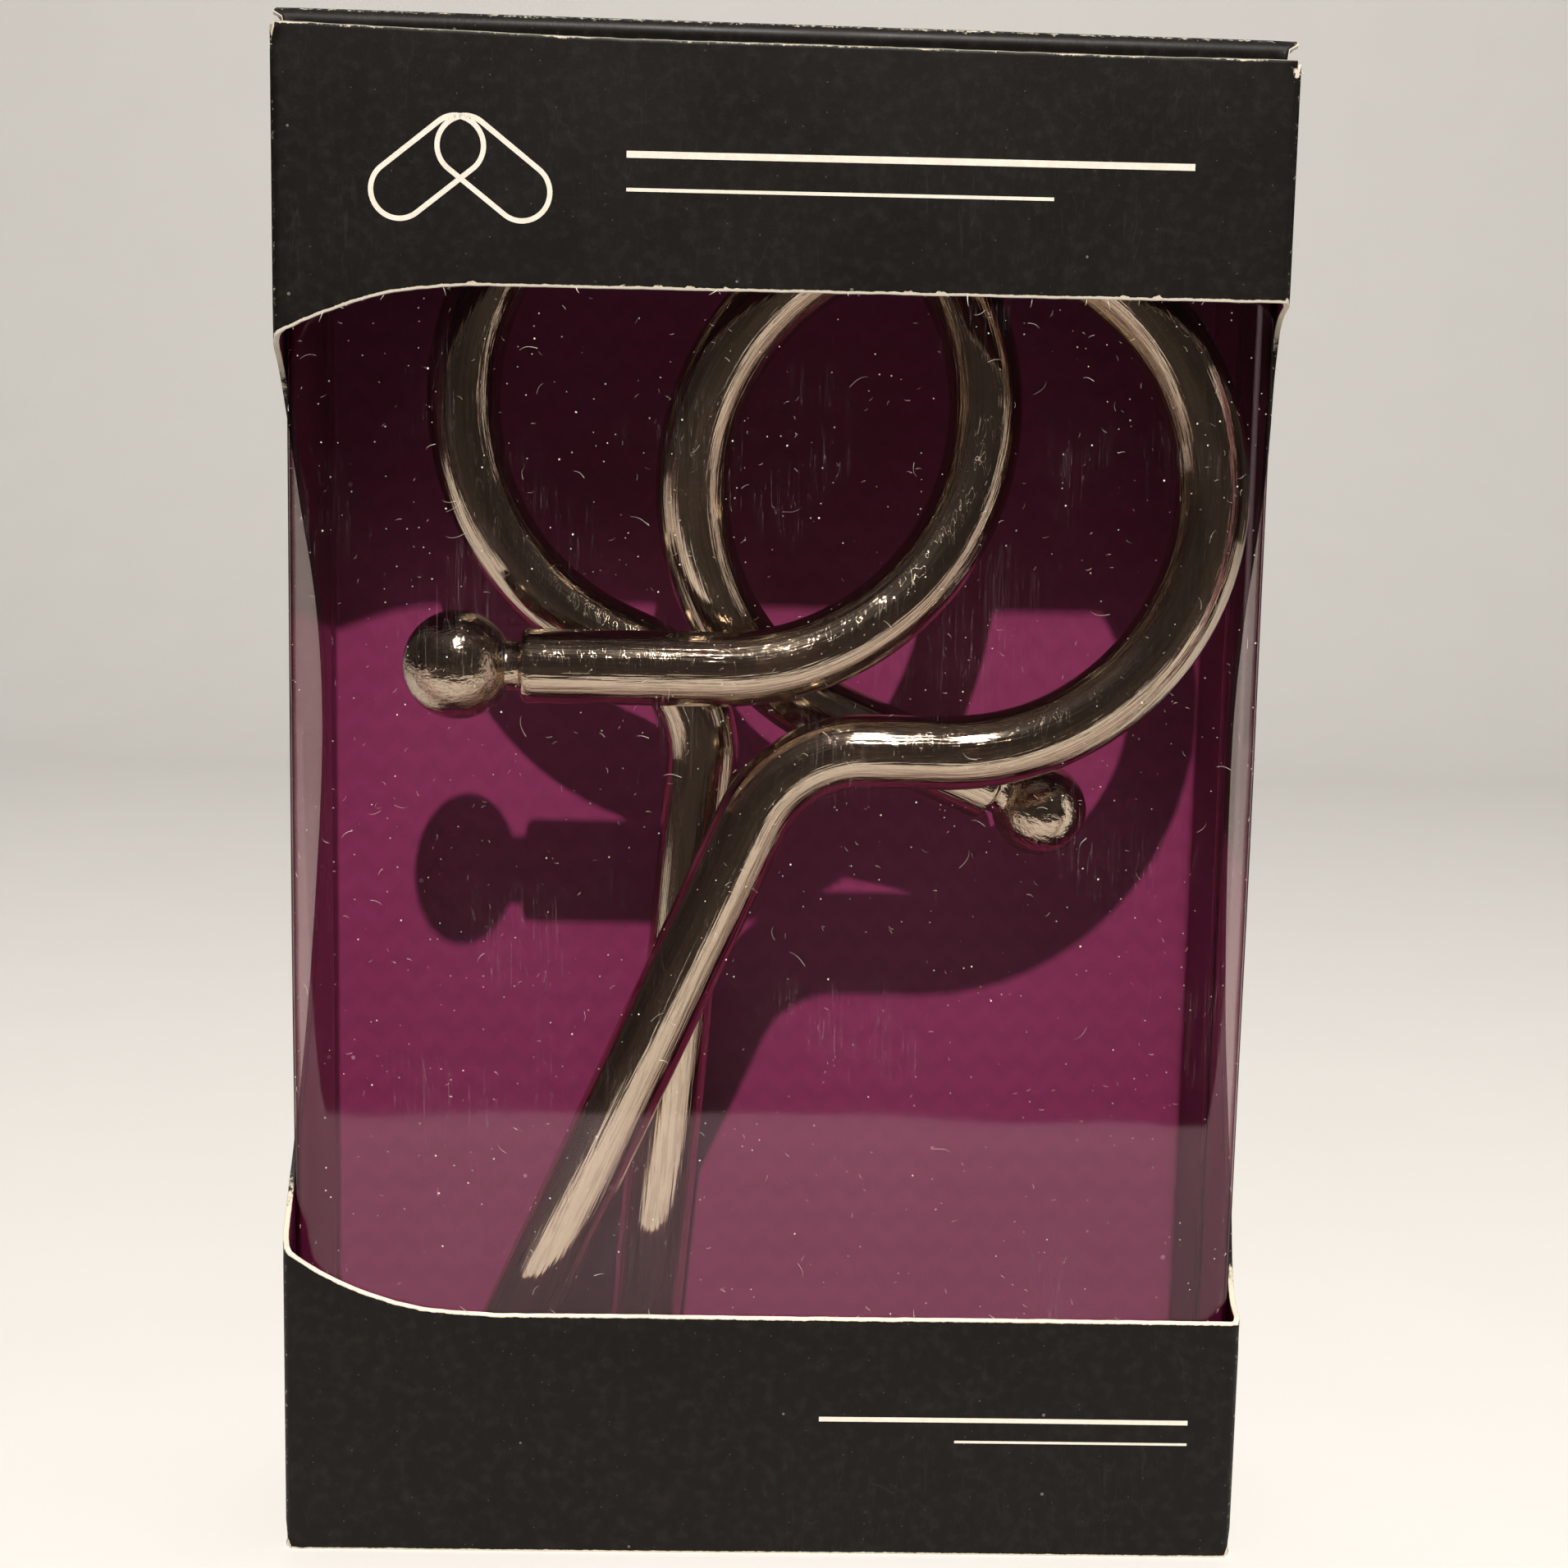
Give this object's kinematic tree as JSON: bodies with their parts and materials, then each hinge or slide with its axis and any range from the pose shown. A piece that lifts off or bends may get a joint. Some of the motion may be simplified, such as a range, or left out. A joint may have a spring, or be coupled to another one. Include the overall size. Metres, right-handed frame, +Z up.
{
  "type": "windowed carton with bent nail puzzle",
  "caption": "Black card carton with a clear wrap-round window and magenta inside, holding interlocked bent-nail puzzle pieces with ball heads; tuck lid and dust flaps are hinged.",
  "frame": {"origin": "centre of the bottom of the carton's bounding box, on the surface that it stands on", "axes": "+Z up, the windowed front panel faces -Y, +X is to the right seen from the front"},
  "size_m": [0.084, 0.025, 0.1302],
  "materials": {
    "printed_card": "satin black print outside, magenta print inside, cream board core at cut edges",
    "clear_film": "clear gloss film, lightly scratched",
    "plated_steel": "bright nickel plate with fine scratches"
  },
  "bodies": {
    "carton": {"header_front": "printed_card", "footer_front": "printed_card", "side_panel_left": "printed_card", "side_panel_right": "printed_card", "back_panel": "printed_card", "glue_flap": "printed_card", "floor_panel_front": "printed_card", "floor_panel_back": "printed_card", "floor_flap_left": "printed_card", "floor_flap_right": "printed_card", "window_film": "clear_film"},
    "lid": {"top_lid": "printed_card"},
    "tuck": {"tuck_flap": "printed_card"},
    "dust_left": {"dust_flap_left": "printed_card"},
    "dust_right": {"dust_flap_right": "printed_card"},
    "rear_piece": {"rear_nail": "plated_steel"},
    "front_piece": {"front_nail": "plated_steel"}
  },
  "joints": [
    {"name": "lid_hinge", "type": "hinge", "parent": "carton", "child": "lid", "pos_m": [0, 0.0125, 0.1296], "axis": [-1, 0, 0], "range_deg": [0, 110]},
    {"name": "tuck_fold", "type": "hinge", "parent": "lid", "child": "tuck", "pos_m": [0, -0.01155, 0.1294], "axis": [1, 0, 0], "range_deg": [0, 45]},
    {"name": "dust_left_fold", "type": "hinge", "parent": "carton", "child": "dust_left", "pos_m": [-0.0414, 0, 0.1289], "axis": [0, -1, 0], "range_deg": [0, 62]},
    {"name": "dust_right_fold", "type": "hinge", "parent": "carton", "child": "dust_right", "pos_m": [0.0414, 0, 0.1289], "axis": [0, 1, 0], "range_deg": [0, 62]},
    {"name": "nails_shift", "type": "slide", "parent": "carton", "child": "rear_piece", "axis": [1, 0, 0], "range_m": [-0.005, 0]},
    {"name": "front_nail_shift", "type": "slide", "parent": "rear_piece", "child": "front_piece", "axis": [1, 0, 0], "range_m": [-0.003, 0]}
  ],
  "couplings": [
    {"joint": "dust_left_fold", "follows": "lid_hinge", "ratio": 0.55},
    {"joint": "dust_right_fold", "follows": "lid_hinge", "ratio": 0.55}
  ]
}
